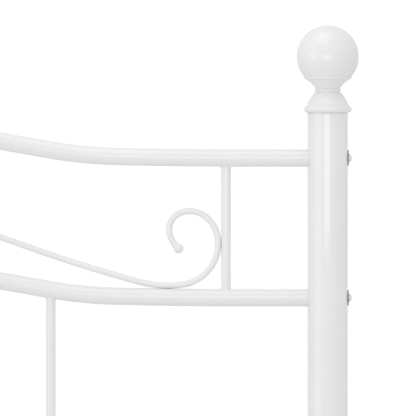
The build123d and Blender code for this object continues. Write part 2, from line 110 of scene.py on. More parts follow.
class Build:
    """Gathers closed shells into one mesh."""

    def __init__(self):
        self.v, self.f = [], []

    def rings(self, rings, close_start=True, close_end=True, loop=False):
        """rings: lists of points of equal length, joined into a skin"""
        n = len(rings[0])
        base = len(self.v)
        for r in rings:
            self.v.extend(r)
        m = len(rings)
        for i in range(m if loop else m - 1):
            a, b = base + i * n, base + ((i + 1) % m) * n
            for k in range(n):
                k2 = (k + 1) % n
                self.f.append((a + k, a + k2, b + k2, b + k))
        if not loop:
            if close_start:
                self._cap(rings[0], base, True)
            if close_end:
                self._cap(rings[-1], base + (m - 1) * n, False)
        return self

    def _cap(self, ring, at, flip):
        n = len(ring)
        c = tuple(sum(p[i] for p in ring) / n for i in range(3))
        self.v.append(c)
        ci = len(self.v) - 1
        for k in range(n):
            k2 = (k + 1) % n
            self.f.append((ci, at + k2, at + k) if flip else (ci, at + k, at + k2))

    def copy_to(self, other, fn, flip=False):
        base = len(other.v)
        other.v.extend(fn(*p) for p in self.v)
        for f in self.f:
            g = tuple(base + i for i in f)
            other.f.append(tuple(reversed(g)) if flip else g)

    def mesh(self, name, sharp=38.0):
        me = new_mesh(name, self.v, self.f, sharp)
        return me


def fix_normals(me):
    import bmesh
    bm = bmesh.new()
    bm.from_mesh(me)
    bmesh.ops.recalc_face_normals(bm, faces=bm.faces)
    bm.to_mesh(me)
    bm.free()


def piece(name, build, mat, nodes, sharp=38.0):
    me = build.mesh(name, sharp)
    fix_normals(me)
    me.polygons.foreach_set("use_smooth", [True] * len(me.polygons))
    me.set_sharp_from_angle(angle=math.radians(sharp))
    ob = bpy.data.objects.new(name, me)
    bpy.context.scene.collection.objects.link(ob)
    me.materials.append(mat)
    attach(ob, "root")
    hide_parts(*nodes)
    return ob


def cut(ob, cutter, sharp=38.0):
    """take the closed shells of cutter out of a piece"""
    me = cutter.mesh(ob.name + "_cut")
    fix_normals(me)
    tool = bpy.data.objects.new(ob.name + "_cut", me)
    bpy.context.scene.collection.objects.link(tool)
    mod = ob.modifiers.new("cut", "BOOLEAN")
    mod.operation, mod.solver, mod.object = "DIFFERENCE", "EXACT", tool
    dg = bpy.context.evaluated_depsgraph_get()
    old = ob.data
    new = bpy.data.meshes.new_from_object(ob.evaluated_get(dg))
    ob.modifiers.remove(mod)
    ob.data = new
    new.name = ob.name
    new.materials.clear()
    for m in old.materials:
        new.materials.append(m)
    new.polygons.foreach_set("material_index", [0] * len(new.polygons))
    new.polygons.foreach_set("use_smooth", [True] * len(new.polygons))
    new.set_sharp_from_angle(angle=math.radians(sharp))
    bpy.data.objects.remove(tool)
    bpy.data.meshes.remove(me)


# ------------------------------------------------------------------ paths
class Chain:
    """Straight runs and tangent arcs in a panel's plane, sampled finely."""

    def __init__(self, start, heading):
        self.p, self.h = start, heading
        self.pts = [(start[0], start[1], heading)]

    def line(self, length, step=14.0):
        a = math.radians(self.h)
        n = max(1, int(math.ceil(length / step)))
        for i in range(1, n + 1):
            s = length * i / n
            self.pts.append((self.p[0] + s * math.cos(a), self.p[1] + s * math.sin(a), self.h))
        self.p = self.pts[-1][:2]
        return self

    def arc(self, radius, angle, step=14.0, turn=3.0):
        n = max(1, int(math.ceil(max(radius * math.radians(abs(angle)) / step, abs(angle) / turn))))
        s = 1 if angle > 0 else -1
        a = math.radians(self.h)
        for i in range(1, n + 1):
            b = math.radians(self.h + angle * i / n)
            self.pts.append((
                self.p[0] + s * radius * (math.sin(b) - math.sin(a)),
                self.p[1] - s * radius * (math.cos(b) - math.cos(a)),
                self.h + angle * i / n,
            ))
        self.p = self.pts[-1][:2]
        self.h += angle
        return self


la = math.radians(LIFT_A)
bend_d0 = LIFT_D + LIFT_R * math.sin(la)
bend_z0 = LIFT_R * (1 - math.cos(la))


def after_bend(bend):
    ta = la + math.radians(bend)
    return bend_d0 + BEND_R * (math.sin(ta) - math.sin(la)), bend_z0 - BEND_R * (math.cos(ta) - math.cos(la)), ta


back_d1, back_z1, back_ta = after_bend(BEND_A)
incline = (CROWN_D - back_d1) / math.cos(back_ta)
CROWN_R = (HX - CROWN_D) / math.sin(back_ta)
CROWN_RISE = back_z1 + (CROWN_D - back_d1) * math.tan(back_ta) + CROWN_R * (1 - math.cos(back_ta))
arm_d1, arm_z1, arm_ta = after_bend(ARM_BEND_A)
ARM_CROWN_R = (HY - arm_d1) / math.sin(arm_ta)
ARM_RISE = arm_z1 + ARM_CROWN_R * (1 - math.cos(arm_ta))


def back_height(d):
    d = min(d, 2 * HX - d)
    if d <= LIFT_D:
        return 0.0
    if d <= bend_d0:
        return LIFT_R - math.sqrt(LIFT_R**2 - (d - LIFT_D) ** 2)
    if d <= back_d1:
        cx = bend_d0 - BEND_R * math.sin(la)
        return bend_z0 + BEND_R * math.cos(la) - math.sqrt(BEND_R**2 - (d - cx) ** 2)
    if d <= CROWN_D:
        return back_z1 + (d - back_d1) * math.tan(back_ta)
    return CROWN_RISE - CROWN_R + math.sqrt(CROWN_R**2 - (HX - d) ** 2)


def arm_height(d):
    d = min(d, 2 * HY - d)
    if d <= LIFT_D:
        return 0.0
    if d <= bend_d0:
        return LIFT_R - math.sqrt(LIFT_R**2 - (d - LIFT_D) ** 2)
    if d <= arm_d1:
        cx = bend_d0 - BEND_R * math.sin(la)
        return bend_z0 + BEND_R * math.cos(la) - math.sqrt(BEND_R**2 - (d - cx) ** 2)
    return ARM_RISE - ARM_CROWN_R + math.sqrt(ARM_CROWN_R**2 - (HY - d) ** 2)


def flat_height(d):
    return 0.0


def rail_path(half_span, arm):
    c = Chain((POST_R, 0.0), 0.0)
    c.line(LIFT_D - POST_R, 8.0).arc(LIFT_R, LIFT_A)
    if arm:
        c.arc(BEND_R, ARM_BEND_A).arc(ARM_CROWN_R, -2 * (LIFT_A + ARM_BEND_A)).arc(BEND_R, ARM_BEND_A)
    else:
        c.arc(BEND_R, BEND_A).line(incline).arc(CROWN_R, -2 * (LIFT_A + BEND_A)).line(incline).arc(BEND_R, BEND_A)
    return c.arc(LIFT_R, LIFT_A).line(LIFT_D - POST_R, 8.0).pts


# panel planes: d along the panel from the left rear post, w across it, h up
def back_map(z):
    return lambda d, w, h: (-HX + d, HY + w, z + h)


def arm_map(side, z):
    return lambda d, w, h: (side * (HX + w), HY - d, z + h)


# ------------------------------------------------------------------ tubes
def smoothstep(t):
    t = min(1.0, max(0.0, t))
    return t * t * (3 - 2 * t)


def fillet_flare(s, f):
    """how far a weld of size f stands out of the tube at distance s from the joint"""
    if s >= f:
        return 0.0
    return f * (1 - math.sqrt(max(0.0, 1 - (1 - s / f) ** 2)))


END_S = [0.0, 0.12, 0.3, 0.55, 0.9, 1.3, 1.8, 2.4, 3.2, 4.2, 5.5, 7.0, 9.0, 11.5, 14.5, 18.0]


def rail(build, pts, to_world, span, welded, sides=72, pinch=1.3, seed=0.0):
    """A round rail from post to post.  Both ends are notched round the posts."""
    r0 = RAIL_R
    rings = []

    def end_ring(s, at_start):
        ring = []
        for k in range(sides):
            phi = 2 * math.pi * k / sides
            if welded:
                lump = 1 + 0.22 * noise_at(math.cos(phi) * 2.1, math.sin(phi) * 2.1, seed + (3 if at_start else 9))
                r = r0 + fillet_flare(s, 2.3 * lump)
                squeeze = 0.0
            else:
                # bolted end: the tube is pressed a little thinner front to back, with a rounded rim
                r = r0 - (0.45 - s) * 0.9 * (s < 0.45)
                squeeze = pinch * (1 - smoothstep(s / 17.0))
            w, h = r * math.sin(phi), r * math.cos(phi)
            w *= 1 - squeeze / r0
            cut = math.sqrt(POST_R**2 - min(abs(w), POST_R - 0.1) ** 2)
            d = (cut - 0.15) * (1 - smoothstep(s / 18.0)) + POST_R * smoothstep(s / 18.0) + s
            if not at_start:
                d = span - d
            ring.append(to_world(d, w, h))
        return ring

    for s in END_S:
        rings.append(end_ring(s, True))
    for d, h, a in pts:
        if d < POST_R + 19.0 or d > span - POST_R - 19.0:
            continue
        a = math.radians(a)
        rings.append([
            to_world(
                d - r0 * math.cos(2 * math.pi * k / sides) * math.sin(a),
                r0 * math.sin(2 * math.pi * k / sides),
                h + r0 * math.cos(2 * math.pi * k / sides) * math.cos(a),
            )
            for k in range(sides)
        ])
    for s in reversed(END_S):
        rings.append(end_ring(s, False))
    build.rings(rings)


def spindle(build, to_world, d0, low, high, sides=44, seed=0.0, r0=SPINDLE_R):
    """An upright spindle welded between two rails.  low and high give a rail's height at d."""
    rings = []

    def surf(fn, off, d, w, top):
        e = 0.5
        slope = (fn(d + e) - fn(d - e)) / (2 * e)
        lift = math.sqrt(max(0.0, RAIL_R**2 - w * w)) * math.sqrt(1 + slope * slope)
        return off + fn(d) + (-lift + 0.1 if top else lift - 0.1)

    lo_fn, lo_off = low
    hi_fn, hi_off = high
    mid_lo = surf(lo_fn, lo_off, d0, 0, False)
    mid_hi = surf(hi_fn, hi_off, d0, 0, True)

    def end_ring(s, top):
        ring = []
        for k in range(sides):
            phi = 2 * math.pi * k / sides
            lump = 1 + 0.28 * noise_at(math.cos(phi) * 1.7, math.sin(phi) * 1.7, seed + (5 if top else 1))
            r = r0 + fillet_flare(s, 1.9 * lump)
            d, w = d0 + r * math.cos(phi), r * math.sin(phi)
            t = smoothstep(s / 16.0)
            if top:
                z = surf(hi_fn, hi_off, d, w, True) * (1 - t) + mid_hi * t - s
            else:
                z = surf(lo_fn, lo_off, d, w, False) * (1 - t) + mid_lo * t + s
            ring.append(to_world(d, w, z))
        return ring

    for s in END_S:
        rings.append(end_ring(s, False))
    n = max(2, int((mid_hi - mid_lo - 40) / 14))
    for i in range(n + 1):
        z = mid_lo + 20 + (mid_hi - mid_lo - 40) * i / n
        rings.append([
            to_world(d0 + r0 * math.cos(2 * math.pi * k / sides), r0 * math.sin(2 * math.pi * k / sides), z)
            for k in range(sides)
        ])
    for s in reversed(END_S):
        rings.append(end_ring(s, True))
    build.rings(rings)


def rod(build, pts, to_world, sides=32, r0=ROD_R):
    rings = []
    for d, h, a in pts:
        a = math.radians(a)
        rings.append([
            to_world(
                d - r0 * math.cos(2 * math.pi * k / sides) * math.sin(a),
                r0 * math.sin(2 * math.pi * k / sides),
                h + r0 * math.cos(2 * math.pi * k / sides) * math.cos(a),
            )
            for k in range(sides)
        ])
    build.rings(rings)


def bead(build, to_world, d0, h0, angle, length, width, seed, side=0.0):
    """A short fused weld bead lying along a touch line: a lumpy ellipsoid, side moves it across the panel."""
    a = math.radians(angle)
    rows, sides = 18, 20
    rings = []
    for i in range(1, rows):
        t = math.pi * i / rows
        x = -math.cos(t) * length / 2
        rr = math.sin(t) ** 0.7
        ring = []
        for k in range(sides):
            phi = 2 * math.pi * k / sides
            bump = 1 + 0.16 * noise_at(x * 0.55, math.cos(phi), seed) + 0.07 * math.sin(x * 2.6 + seed)
            y = math.cos(phi) * width * 0.36 * rr * bump
            w = side + math.sin(phi) * width * 0.5 * rr * bump
            ring.append(to_world(d0 + x * math.cos(a) - y * math.sin(a), w, h0 + x * math.sin(a) + y * math.cos(a)))
        rings.append(ring)
    build.rings(rings)


def lathe(profile, sides=96, cx=0.0, cy=0.0, cz=0.0):
    """Closed turned shape about a vertical axis; profile is (r, z) from bottom to top."""
    return [
        [(cx + r * math.cos(2 * math.pi * k / sides), cy + r * math.sin(2 * math.pi * k / sides), cz + z) for k in range(sides)]
        for r, z in profile
    ]


def arc3(p, q, r, n):
    """points on the circle through p, q, r, from p to r"""
    ax, ay = p
    bx, by = q
    cx, cy = r
    d = 2 * (ax * (by - cy) + bx * (cy - ay) + cx * (ay - by))
    ux = ((ax * ax + ay * ay) * (by - cy) + (bx * bx + by * by) * (cy - ay) + (cx * cx + cy * cy) * (ay - by)) / d
    uy = ((ax * ax + ay * ay) * (cx - bx) + (bx * bx + by * by) * (ax - cx) + (cx * cx + cy * cy) * (bx - ax)) / d
    rad = math.hypot(ax - ux, ay - uy)
    a0, a1, a2 = (math.atan2(y - uy, x - ux) for x, y in (p, q, r))
    while a1 < a0:
        a1 += 2 * math.pi
    while a2 < a0:
        a2 += 2 * math.pi
    if a1 > a2:
        a2 -= 2 * math.pi
    return [(ux + rad * math.cos(a0 + (a2 - a0) * i / n), uy + rad * math.sin(a0 + (a2 - a0) * i / n)) for i in range(n + 1)]


def rounded_rect(w, h, r, seg=5):
    pts = []
    for cx, cy, a0 in ((w / 2 - r, h / 2 - r, 0), (-w / 2 + r, h / 2 - r, 90), (-w / 2 + r, -h / 2 + r, 180), (w / 2 - r, -h / 2 + r, 270)):
        for i in range(seg + 1):
            a = math.radians(a0 + 90 * i / seg)
            pts.append((cx + r * math.cos(a), cy + r * math.sin(a)))
    return pts


# ------------------------------------------------------------------ materials
def node(nt, kind, x, y, **sockets):
    n = nt.nodes.new(kind)
    n.location = (x, y)
    for k, v in sockets.items():
        n.inputs[k.replace("_", " ")].default_value = v
    return n


def base_material(name):
    m = bpy.data.materials.new(name)
    m.use_nodes = True
    nt = m.node_tree
    nt.nodes.clear()
    out = nt.nodes.new("ShaderNodeOutputMaterial")
    out.location = (700, 0)
    bsdf = nt.nodes.new("ShaderNodeBsdfPrincipled")
    bsdf.location = (400, 0)
    nt.links.new(bsdf.outputs[0], out.inputs[0])
    return m, nt, bsdf


def ramp(nt, x, y, stops):
    r = nt.nodes.new("ShaderNodeValToRGB")
    r.location = (x, y)
    el = r.color_ramp.elements
    el[0].position, el[0].color = stops[0]
    el[1].position, el[1].color = stops[-1]
    for pos, col in stops[1:-1]:
        e = el.new(pos)
        e.color = col
    return r


def grey(v, tint=(0, 0, 0)):
    return (v + tint[0], v + tint[1], v + tint[2], 1)


def powder_coat():
    """Gloss white powder coat: faint orange peel, faint thickness clouds, rare fine specks."""
    m, nt, b = base_material("white_powder_coat")
    tc = node(nt, "ShaderNodeTexCoord", -1100, 0)
    clouds = node(nt, "ShaderNodeTexNoise", -850, 250, Scale=9.0, Detail=3.0, Roughness=0.55)
    peel = node(nt, "ShaderNodeTexNoise", -850, -250, Scale=300.0, Detail=1.5, Roughness=0.45)
    fine = node(nt, "ShaderNodeTexNoise", -850, -500, Scale=1300.0, Detail=1.0, Roughness=0.5)
    specks = node(nt, "ShaderNodeTexVoronoi", -850, 0, Scale=95.0)
    for n in (clouds, peel, fine, specks):
        nt.links.new(tc.outputs["Object"], n.inputs["Vector"])
    col = ramp(nt, -600, 250, [(0.3, grey(0.825)), (0.7, grey(0.845))])
    nt.links.new(clouds.outputs["Fac"], col.inputs["Fac"])
    sp = ramp(nt, -600, 0, [(0.018, grey(0.70, (0.0, -0.004, -0.012))), (0.03, grey(1.0))])
    nt.links.new(specks.outputs["Distance"], sp.inputs["Fac"])
    mix = nt.nodes.new("ShaderNodeMix")
    mix.data_type = "RGBA"
    mix.blend_type = "MULTIPLY"
    mix.location = (-300, 200)
    mix.inputs["Factor"].default_value = 0.35
    nt.links.new(col.outputs[0], mix.inputs["A"])
    nt.links.new(sp.outputs[0], mix.inputs["B"])
    nt.links.new(mix.outputs["Result"], b.inputs["Base Color"])
    rough = nt.nodes.new("ShaderNodeMapRange")
    rough.location = (-300, -80)
    rough.inputs["To Min"].default_value = 0.035
    rough.inputs["To Max"].default_value = 0.085
    nt.links.new(clouds.outputs["Fac"], rough.inputs["Value"])
    nt.links.new(rough.outputs[0], b.inputs["Roughness"])
    b1 = node(nt, "ShaderNodeBump", 0, -450, Strength=0.2, Distance=0.000006)
    nt.links.new(fine.outputs["Fac"], b1.inputs["Height"])
    b2 = node(nt, "ShaderNodeBump", 180, -300, Strength=0.22, Distance=0.00003)
    nt.links.new(peel.outputs["Fac"], b2.inputs["Height"])
    nt.links.new(b1.outputs[0], b2.inputs["Normal"])
    nt.links.new(b2.outputs[0], b.inputs["Normal"])
    b.inputs["IOR"].default_value = 1.5
    return m


def plated(name, light, dark, rough_lo, rough_hi, metallic, scratch=True):
    m, nt, b = base_material(name)
    tc = node(nt, "ShaderNodeTexCoord", -1000, 0)
    n1 = node(nt, "ShaderNodeTexNoise", -750, 150, Scale=260.0, Detail=4.0, Roughness=0.6)
    n2 = node(nt, "ShaderNodeTexNoise", -750, -200, Scale=1400.0, Detail=3.0, Roughness=0.65)
    for n in (n1, n2):
        nt.links.new(tc.outputs["Object"], n.inputs["Vector"])
    col = ramp(nt, -450, 150, [(0.3, dark), (0.72, light)])
    nt.links.new(n1.outputs["Fac"], col.inputs["Fac"])
    nt.links.new(col.outputs[0], b.inputs["Base Color"])
    rough = nt.nodes.new("ShaderNodeMapRange")
    rough.location = (-450, -100)
    rough.inputs["To Min"].default_value = rough_lo
    rough.inputs["To Max"].default_value = rough_hi
    nt.links.new(n2.outputs["Fac"], rough.inputs["Value"])
    nt.links.new(rough.outputs[0], b.inputs["Roughness"])
    bump = node(nt, "ShaderNodeBump", 0, -300, Strength=0.3, Distance=0.00003)
    nt.links.new(n2.outputs["Fac"], bump.inputs["Height"])
    nt.links.new(bump.outputs[0], b.inputs["Normal"])
    b.inputs["Metallic"].default_value = metallic
    return m


def plastic(name, light, dark):
    m, nt, b = base_material(name)
    tc = node(nt, "ShaderNodeTexCoord", -1000, 0)
    n1 = node(nt, "ShaderNodeTexNoise", -750, 150, Scale=30.0, Detail=3.0, Roughness=0.6)
    n2 = node(nt, "ShaderNodeTexVoronoi", -750, -200, Scale=1300.0)
    for n in (n1, n2):
        nt.links.new(tc.outputs["Object"], n.inputs["Vector"])
    col = ramp(nt, -450, 150, [(0.3, dark), (0.7, light)])
    nt.links.new(n1.outputs["Fac"], col.inputs["Fac"])
    nt.links.new(col.outputs[0], b.inputs["Base Color"])
    bump = node(nt, "ShaderNodeBump", 0, -300, Strength=0.5, Distance=0.00008)
    nt.links.new(n2.outputs["Distance"], bump.inputs["Height"])
    nt.links.new(bump.outputs[0], b.inputs["Normal"])
    rough = nt.nodes.new("ShaderNodeMapRange")
    rough.location = (-450, -60)
    rough.inputs["To Min"].default_value = 0.48
    rough.inputs["To Max"].default_value = 0.62
    nt.links.new(n1.outputs["Fac"], rough.inputs["Value"])
    nt.links.new(rough.outputs[0], b.inputs["Roughness"])
    return m


WHITE = powder_coat()
NICKEL = plated("nickel_bolt", (0.86, 0.86, 0.85, 1), (0.74, 0.74, 0.73, 1), 0.16, 0.30, 1.0)
ZINC = plated("zinc_steel", (0.66, 0.67, 0.70, 1), (0.52, 0.53, 0.56, 1), 0.28, 0.45, 1.0)
BLACK = plated("blackened_washer", (0.40, 0.40, 0.41, 1), (0.28, 0.28, 0.29, 1), 0.38, 0.55, 0.7)
GREY = plastic("grey_plastic", (0.60, 0.60, 0.61, 1), (0.54, 0.54, 0.55, 1))
MATS = {"white_powder_coat": WHITE, "nickel_bolt": NICKEL, "zinc_steel": ZINC, "blackened_washer": BLACK, "grey_plastic": GREY}

# every carried-over CAD node gets its slot's finish
for sub in frame["record"]["subparts"]:
    ob = frame["nodes"].get(sub["node"])
    if ob is not None and ob.type == "MESH":
        ob.data.materials.clear()
        ob.data.materials.append(MATS[sub["material_slot"]])

# ------------------------------------------------------------------ posts and feet
CORNERS = {"rear_left": (-HX, HY), "rear_right": (HX, HY), "front_left": (-HX, -HY), "front_right": (HX, -HY)}
for key, (x, y) in CORNERS.items():
    b = Build()
    prof = [(POST_R - 0.5, FOOT_H), (POST_R - 0.15, FOOT_H + 0.12), (POST_R, FOOT_H + 0.5)]
    n = 62
    prof += [(POST_R, FOOT_H + 2 + (POST_TOP - FOOT_H - 4) * i / n) for i in range(n + 1)]
    prof += [(POST_R, POST_TOP - 0.55), (POST_R - 0.12, POST_TOP - 0.2), (POST_R - 0.45, POST_TOP)]
    b.rings(lathe(prof, 112, x, y))
    piece(key + "_post_tube", b, WHITE, [key + "_post"])

b = Build()
foot = [(POST_R - 3.6, 0.0), (POST_R - 2.5, 0.12), (POST_R - 1.4, 0.55), (POST_R - 0.55, 1.3), (POST_R - 0.12, 2.3), (POST_R, 3.3),
        (POST_R, 5.0), (POST_R - 0.25, 5.3), (POST_R - 0.25, 5.9), (POST_R, 6.2), (POST_R, FOOT_H - 0.3), (POST_R - 0.3, FOOT_H), (POST_R - 1.8, FOOT_H)]
foot = [(r, z) for r, z in foot]
for x, y in CORNERS.values():
    ring = [(6.0, 0.6), (16.0, 0.6), (17.0, 0.0)] + foot
    b.rings(lathe(ring, 96, x, y))
piece("post_feet", b, GREY, ["post_foot_plugs"])

# ------------------------------------------------------------------ finials
seat = BALL_R + 0.05
lip_r = math.sqrt(seat**2 - (BALL_Z - LIP_Z) ** 2)
prof = [(20.0, 0.0), (25.0, 0.0), (25.5, 0.06), (25.8, 0.18)]
prof += arc3((26.0, 0.25), (30.1, 4.6), (28.1, 8.2), 22)
prof += arc3((27.75, 8.4), (26.7, 9.1), (26.2, 10.25), 8)
prof += arc3((26.1, 10.7), (22.5, 18.2), (16.0, 25.8), 30)
prof += [(15.62, 26.25), (15.45, 26.7)]
prof += arc3((15.55, 26.95), (16.75, 28.85), (15.5, 30.6), 14)
prof += [(15.2, 30.85)]
prof += arc3((15.25, 31.15), (20.8, 37.2), (29.1, 43.05), 30)
prof += [(29.35, 43.2)]
prof += arc3((29.5, 43.35), (30.2, 44.6), (lip_r - 0.02, LIP_Z), 12)
prof += [(lip_r - 0.6, LIP_Z - 0.45), (lip_r - 1.6, LIP_Z - 1.7), (20.0, 38.0)]
b = Build()
for x, y in CORNERS.values():
    b.rings(lathe(prof, 112, x, y, POST_TOP))
piece("finial_turned_bases", b, WHITE, ["finial_bases"], 30.0)

b = Build()
n = 72
ball = [(BALL_R * math.sin(math.pi * i / n), BALL_Z - BALL_R * math.cos(math.pi * i / n)) for i in range(4, n)]
ball.append((0.35, BALL_Z + BALL_R - 0.0016))
for x, y in CORNERS.values():
    b.rings(lathe(ball, 112, x, y, POST_TOP))
piece("finial_ball_shells", b, WHITE, ["finial_balls"], 60.0)

# ------------------------------------------------------------------ back panel
for name, z, seed in (("back_top_rail", TOP_Z, 1.0), ("back_second_rail", SECOND_Z, 4.0)):
    b = Build()
    rail(b, rail_path(HX, False), back_map(z), 2 * HX, False, seed=seed)
    piece(name + "_tube", b, WHITE, [name])
b = Build()
c = Chain((POST_R, 0.0), 0.0).line(2 * HX - 2 * POST_R, 14.0)
rail(b, c.pts, back_map(BOTTOM_Z), 2 * HX, False, seed=7.0)
piece("back_bottom_rail_tube", b, WHITE, ["back_bottom_rail"])

b = Build()
bm_top = back_map(0.0)
for i, d in enumerate((SHORT_D, 2 * HX - SHORT_D)):
    spindle(b, bm_top, d, (back_height, SECOND_Z), (back_height, TOP_Z), seed=20.0 + i)
piece("back_short_spindle_tubes", b, WHITE, ["back_short_spindles"])
_lo, _hi = mm_box("back_lower_spindles")
first = _lo[0] + SPINDLE_R + HX
b = Build()
for i in range(5):
    d = first + i * (2 * HX - 2 * first) / 4
    spindle(b, bm_top, d, (flat_height, BOTTOM_Z), (back_height, SECOND_Z), seed=30.0 + i)
piece("back_lower_spindle_tubes", b, WHITE, ["back_lower_spindles"])

# scroll geometry, as in the frame
volute = Chain(VOLUTE_START, VOLUTE_HEADING)
for r, a in VOLUTE:
    volute.arc(r, a)
h = math.radians(volute.h)
foot_r = VOLUTE[-1][0]
foot_c = (volute.p[0] - foot_r * math.sin(h), volute.p[1] + foot_r * math.cos(h))
lift_c = (LIFT_D, -RAIL_DROP + LIFT_R)
gap = LIFT_R - RAIL_R - ROD_R - foot_r
drop = lift_c[1] - math.sqrt(gap**2 - (foot_c[0] - lift_c[0]) ** 2) - foot_c[1]
start = (VOLUTE_START[0], VOLUTE_START[1] + drop)
foot_c = (foot_c[0], foot_c[1] + drop)
c = Chain(start, VOLUTE_HEADING)
for r, a in VOLUTE:
    if c.h + a >= 270.0:
        break
    c.arc(r, a)
side_x = c.p[0] - r * math.sin(math.radians(c.h)) - r
side_z = c.p[1] + r * math.cos(math.radians(c.h))
slide = SHORT_D + SPINDLE_R + ROD_R - side_x
start = (start[0] + slide, start[1])
foot_c = (foot_c[0] + slide, foot_c[1])
side_x += slide
mid_d = (HX - ROD_R + side_x) / 2
crown_c = (HX, CROWN_RISE - CROWN_R)
reach = CROWN_R - RAIL_R - ROD_R - foot_r
dz = math.sqrt(reach**2 - (2 * mid_d - foot_c[0] - crown_c[0]) ** 2)
mid_z = (crown_c[1] + dz + foot_c[1]) / 2


def lower_volute(step=8.0):
    c = Chain(start, VOLUTE_HEADING)
    for r, a in VOLUTE:
        c.arc(r, a, step, 2.5)
    return c


lo, hi = 0.5, 9.0
for _ in range(60):
    m = (lo + hi) / 2
    c = lower_volute().arc(TAIL_R, m)
    if c.h - 360.0 < math.degrees(math.atan2(mid_z - c.p[1], mid_d - c.p[0])):
        lo = m
    else:
        hi = m
tail_a = (lo + hi) / 2
c = lower_volute().arc(TAIL_R, tail_a, 9.0)
run = math.hypot(mid_d - c.p[0], mid_z - c.p[1])
c.line(2 * run, 9.0).arc(TAIL_R, -tail_a, 9.0)
for r, a in reversed(VOLUTE):
    c.arc(r, -a, 8.0, 2.5)
scroll_pts = c.pts
scroll_end = c.p
touch_foot = (foot_c[0] + (foot_c[0] - lift_c[0]) / gap * foot_r, foot_c[1] - math.sqrt(1 - ((foot_c[0] - lift_c[0]) / gap) ** 2) * foot_r)


def mirror_x(fn):
    return lambda d, w, h: (lambda p: (-p[0], p[1], p[2]))(fn(d, w, h))


def rod_tip(build, to_world, p, heading, seed):
    """the small ball on a scroll's end, with the short swelling where it is welded on"""
    a = math.radians(heading)
    rows, sides = 26, 32
    rings = []
    R = ROD_BALL_R
    for i in range(1, rows):
        t = math.pi * i / rows
        x, rr = -math.cos(t) * R, math.sin(t) * R
        if x > 0:
            neck = ROD_R + fillet_flare(max(0.0, R + 1.2 - x - 1.0), 1.6) * 0
            rr = max(rr, 0.0)
        rings.append([
            to_world(
                p[0] + x * math.cos(a) - rr * math.cos(2 * math.pi * k / sides) * math.sin(a),
                rr * math.sin(2 * math.pi * k / sides),
                p[1] + x * math.sin(a) + rr * math.cos(2 * math.pi * k / sides) * math.cos(a),
            )
            for k in range(sides)
        ])
    build.rings(rings)
    # weld collar between ball and rod
    rings = []
    for i in range(11):
        t = i / 10
        x = 4.2 + 4.4 * t
        rr = ROD_R + 0.95 * (1 - t) ** 2 + 0.12 * noise_at(t * 3, seed, 0.3)
        rings.append([
            to_world(
                p[0] + x * math.cos(a) - rr * math.cos(2 * math.pi * k / sides) * math.sin(a),
                rr * math.sin(2 * math.pi * k / sides),
                p[1] + x * math.sin(a) + rr * math.cos(2 * math.pi * k / sides) * math.cos(a),
            )
            for k in range(sides)
        ])
    build.rings(rings)


tips = Build()
left_map = back_map(TOP_Z)
for side, mp in (("left", left_map), ("right", mirror_x(left_map))):
    b = Build()
    rod(b, scroll_pts, mp)
    seed = 50.0 if side == "left" else 60.0
    # tack welds on the second rail, the short spindle and the top rail
    bead(b, mp, touch_foot[0], touch_foot[1] - ROD_R, 0.8, 12.0, 2.6, seed, -1.7)
    bead(b, mp, side_x - ROD_R, side_z, 90.0, 10.0, 2.4, seed + 1, -1.5)
    bead(b, mp, 2 * mid_d - touch_foot[0], 2 * mid_z - touch_foot[1] + ROD_R, 0.8, 12.0, 2.6, seed + 2, -1.7)
    piece("back_scroll_" + side + "_rod", b, WHITE, ["back_scroll_" + side])
    rod_tip(tips, mp, start, VOLUTE_HEADING, seed + 3)
    rod_tip(tips, mp, scroll_end, VOLUTE_HEADING + 180.0, seed + 4)
piece("back_scroll_end_balls", tips, WHITE, ["back_scroll_balls"])

